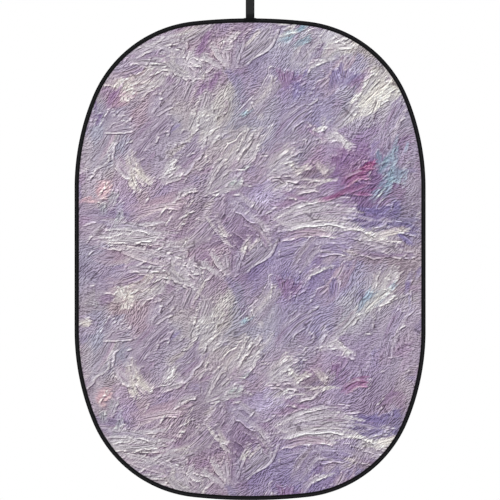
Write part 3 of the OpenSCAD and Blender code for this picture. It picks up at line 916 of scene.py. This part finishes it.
def strip(name, path):
    """A band of webbing along a path of (y, z) points, across X."""
    path = np.asarray(path, float)
    section = strap_section()
    tangent = np.gradient(path, axis=0)
    tangent /= np.hypot(tangent[:, 0], tangent[:, 1])[:, None]
    normal = np.stack([tangent[:, 1], -tangent[:, 0]], 1)
    y = path[:, :1] + normal[:, :1] * section[None, :, 1]
    z = path[:, 1:] + normal[:, 1:] * section[None, :, 1]
    x = np.repeat(section[None, :, 0], len(path), 0)
    verts = np.stack([x, y, z], -1).reshape(-1, 3)
    around = len(section)
    faces = tube_faces(len(path), around, closed=False)
    half = around // 2
    caps = []
    for start, flip in ((0, 1), ((len(path) - 1) * around, 0)):
        for k in range(half):
            corners = [k, k + 1, around - 1 - k, (around - k) % around]
            corners = list(dict.fromkeys(corners if flip else corners[::-1]))
            caps.append([start + c for c in corners] + [-1] * (4 - len(corners)))
    obj = mesh_object(name, verts, np.vstack([faces, caps]))
    point_attribute(obj, "web_u", "FLOAT", np.repeat(path_length(path), around))
    point_attribute(obj, "web_v", "FLOAT", x)
    return obj


def smooth_path(points, rounds=3):
    p = np.asarray(points, float)
    for _ in range(rounds):
        q = np.empty((2 * len(p) - 2, 2))
        q[0::2], q[1::2] = .75 * p[:-1] + .25 * p[1:], .25 * p[:-1] + .75 * p[1:]
        p = np.vstack([p[:1], q, p[-1:]])
    return p


def join(objects, name):
    """One object of several, keeping their point attributes."""
    bpy.ops.object.select_all(action="DESELECT")
    for o in objects:
        o.select_set(True)
    bpy.context.view_layer.objects.active = objects[0]
    bpy.ops.object.join()
    objects[0].name = name
    return objects[0]


def make_loop(material):
    """The webbing over the crossbar, its two legs and the neck where they lie together."""
    mid = BAR_R + .5 * STRAP_T
    close = .00005 + .5 * STRAP_T
    tilt = asin(BAR_R / -NECK_TOP)
    foot = SWING_Z + .0052
    arc = [(mid * cos(a), mid * sin(a)) for a in np.linspace(-tilt, pi + tilt, 40)]
    right = smooth_path([(close, foot), (close, -.164), (close, -.152), (close + .0006, -.146),
                         (.5 * (close + arc[0][0]), .5 * (NECK_TOP + arc[0][1]))])
    lead = np.linspace(right[-1], arc[0], 16)[1:-1]
    side = np.vstack([right, lead])
    left = side[::-1] * [-1, 1]
    obj = strip("webbing_loop", np.vstack([side, arc, left]))
    return dressed(obj, material)


def make_tails(material):
    """The webbing below the neck: two plies that part, straddle the hoop and are sewn in."""
    close = .00005 + .5 * STRAP_T
    top = SWING_Z + .0052
    plies = []
    for side in (-1, 1):
        path = smooth_path([
            (close, top), (close, top - .004), (close, TOP_Z + .0036), (.0024, TOP_Z + .0018),
            (.0058, TOP_Z - .0012), (.0061, TOP_Z - .0066), (.0046, TOP_Z - .0102),
            (.0026, TOP_Z - .0140), (.0022, TOP_Z - .0172)])
        plies.append(strip("ply", path * [side, 1]))
    obj = join(plies, "webbing_tails")
    return dressed(obj, material)


def make_patch(material):
    """Tape over the webbing's ends: front and back flaps that hug the rim beside the webbing."""
    flaps = []
    profile = smooth_path([
        (-.0004, .0026), (-.0011, .0050), (.0004, .0072), (.0034, .0077), (.0066, .0074),
        (.0098, .0058), (.0132, .0041), (.0166, .0037), (.0190, .0036)], 2)
    half = .027
    xs = np.concatenate([[-half, -half + .0006], np.linspace(-half + .003, half - .003, 22),
                         [half - .0006, half]])
    for side in (-1, 1):
        rows = []
        for layer in (0, 1):
            for d, h in profile:
                thick = .0007 * layer
                edge = np.clip((np.abs(xs) - .0205) / .0055, 0, 1) ** 1.5
                drop = edge * np.clip(h - .0029, 0, .0013)
                crown = HALF_H - xs ** 2 / (2 * CROWN_R)
                z = crown - d + (.0005 * layer if d < .001 else 0) + MID_Z
                rows.append(np.stack([xs, side * (h - drop - .0007 + thick), z], 1))
        verts = np.vstack(rows)
        n, m = len(profile), len(xs)
        low, high = np.arange(2 * n * m).reshape(2, n, m)
        ring = np.hstack([low, high[:, ::-1]]).ravel()
        quads = [ring[tube_faces(n, 2 * m, closed=False)]]
        for a, b in ((low[0], high[0]), (high[-1], low[-1])):
            quads.append(np.stack([a[1:], a[:-1], b[:-1], b[1:]], -1))
        quads = np.vstack(quads)
        flap = mesh_object("flap", verts, quads if side < 0 else quads[:, ::-1])
        point_attribute(flap, "tape_u", "FLOAT", np.repeat(np.tile(profile[:, 0], 2), m))
        point_attribute(flap, "tape_v", "FLOAT", np.tile(xs, 2 * n))
        flaps.append(flap)
    obj = join(flaps, "strap_patch")
    return dressed(obj, material)


def thread_runs(name, runs, pitch, length, width, rise):
    """Stitches along straight runs: each run is (start, end, outward)."""
    sets = []
    for run in runs:
        start, end, outward = (np.array(v, float) for v in run)
        reach = np.linalg.norm(end - start)
        count = max(1, int(round(reach / pitch)))
        way = (end - start) / reach
        sets += [(start + way * (k + .5) * reach / count, way, np.cross(way, outward), outward)
                 for k in range(count)]
    return stitch_bodies(name, *np.moveaxis(np.array(sets), 1, 0), length, width, rise)


def make_box_stitch(material):
    half_w, half_h, mid = .015, .0105, .5 * (NECK_TOP + SWING_Z)
    runs = []
    for side in (-1, 1):
        y = side * (.00005 + STRAP_T - .0001)
        corner = [(-half_w, y, mid - half_h), (half_w, y, mid - half_h), (half_w, y, mid + half_h),
                  (-half_w, y, mid + half_h)]
        out = (0, side, 0)
        runs += [(corner[k], corner[(k + 1) % 4], out) for k in range(4)]
        runs += [(corner[0], corner[2], out), (corner[1], corner[3], out)]
    obj = thread_runs("box_stitching", runs, .0030, .0026, .0008, .0006)
    return dressed(obj, material)


def make_patch_stitch(material):
    runs = []
    for side in (-1, 1):
        for depth, y in ((.0155, .00385), (.0180, .0037)):
            z = MID_Z + HALF_H - depth
            runs.append(((-.0225, side * y, z - .0001), (0, side * y, z), (0, side, 0)))
            runs.append(((0, side * y, z), (.0225, side * y, z - .0001), (0, side, 0)))
    obj = thread_runs("patch_stitching", runs, .0030, .0026, .0008, .0006)
    return dressed(obj, material)


# ---- stage
def make_stage():
    scene = bpy.context.scene
    world = bpy.data.worlds.new("studio")
    scene.world = world
    world.use_nodes = True
    background = world.node_tree.nodes["Background"]
    background.inputs[0].default_value = (1, 1, 1, 1)
    background.inputs[1].default_value = 1.0
    scene.view_settings.view_transform = "Standard"
    n = Nodes("floor")
    n.set(Base_Color=n.mix(n.speck(30, 3, .5), (.80, .80, .80), (.84, .84, .84)), Roughness=.9,
          Specular_IOR_Level=.1)
    corners = [(x, y, FLOOR_Z) for x, y in ((-2.4, -2.6), (2.4, -2.6), (2.4, 1.9), (-2.4, 1.9))]
    floor = mesh_object("floor", corners, [(0, 1, 2, 3)])
    floor.data.materials.append(n.material)
    for name, where, size, power in (("key", (-2.6, -4.6, .9), 2.6, 70), ("fill", (3.0, -4.2, .2), 2.4, 34),
                                     ("rim", (1.2, 4.4, .8), 2.4, 46)):
        light = bpy.data.lights.new(name, "AREA")
        light.shape = "SQUARE"
        light.size = size
        light.energy = power
        lamp = bpy.data.objects.new(name, light)
        lamp.location = where
        lamp.rotation_euler = (Vector((0, 0, MID_Z)) - Vector(where)).to_track_quat("-Z", "Y").to_euler()
        scene.collection.objects.link(lamp)


def make_camera():
    camera = bpy.data.cameras.new("camera")
    camera.type = "PERSP"
    camera.sensor_width = 36
    camera.lens = camera.sensor_width * CAMERA_AWAY / CAMERA_SPAN
    camera.clip_end = 60
    eye = bpy.data.objects.new("camera", camera)
    eye.location = (CAMERA_X, -CAMERA_AWAY, MID_Z + CAMERA_RISE)
    eye.rotation_euler = (pi / 2, 0, 0)
    bpy.context.scene.collection.objects.link(eye)
    bpy.context.scene.camera = eye


# ---- assembly
make_camera()
make_stage()


def bends_at_fold(obj, base):
    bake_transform(obj)
    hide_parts(base + "_upper", base + "_lower")
    return obj


front = bends_at_fold(make_front_cloth(), "front_cloth")
back = bends_at_fold(make_back_cloth(), "back_cloth")
binding = bends_at_fold(make_binding(), "binding")
hoop = bends_at_fold(make_hoop(), "hoop")
seam = bends_at_fold(make_binding_stitches(), "binding_stitch")
first_seam = bends_at_fold(make_join_stitches(), "join_stitch")

web = webbing_material()
tape = tape_material("patch_tape", 0.0)
thread = seam.data.materials[0]

loop = make_loop(web)
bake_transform(loop)
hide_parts("hanging_strap", "strap_neck")

tails = make_tails(web)
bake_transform(tails)
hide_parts("strap_tails")

box = make_box_stitch(thread)
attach(box, "neck")
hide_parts("strap_box_stitch")

patch = make_patch(tape)
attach(patch, "panel_upper")
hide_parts("strap_anchor_patch")

rows = make_patch_stitch(thread)
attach(rows, "panel_upper")
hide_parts("patch_stitch")

edge, _, _ = outline(.004, CLOTH_DEPTH)

for node, material in (("splice_sleeve", steel_material("sleeve_steel", (.55, .56, .57), .3, (9, 1, 9))),
                       ("splice_rivets", steel_material("rivet_steel", (.6, .6, .6), .28, (1, 1, 1))),
                       ("splice_wrap", shrink_material())):
    kept = bpy.data.objects[node]
    for item in kept.material_slots:
        item.material = material
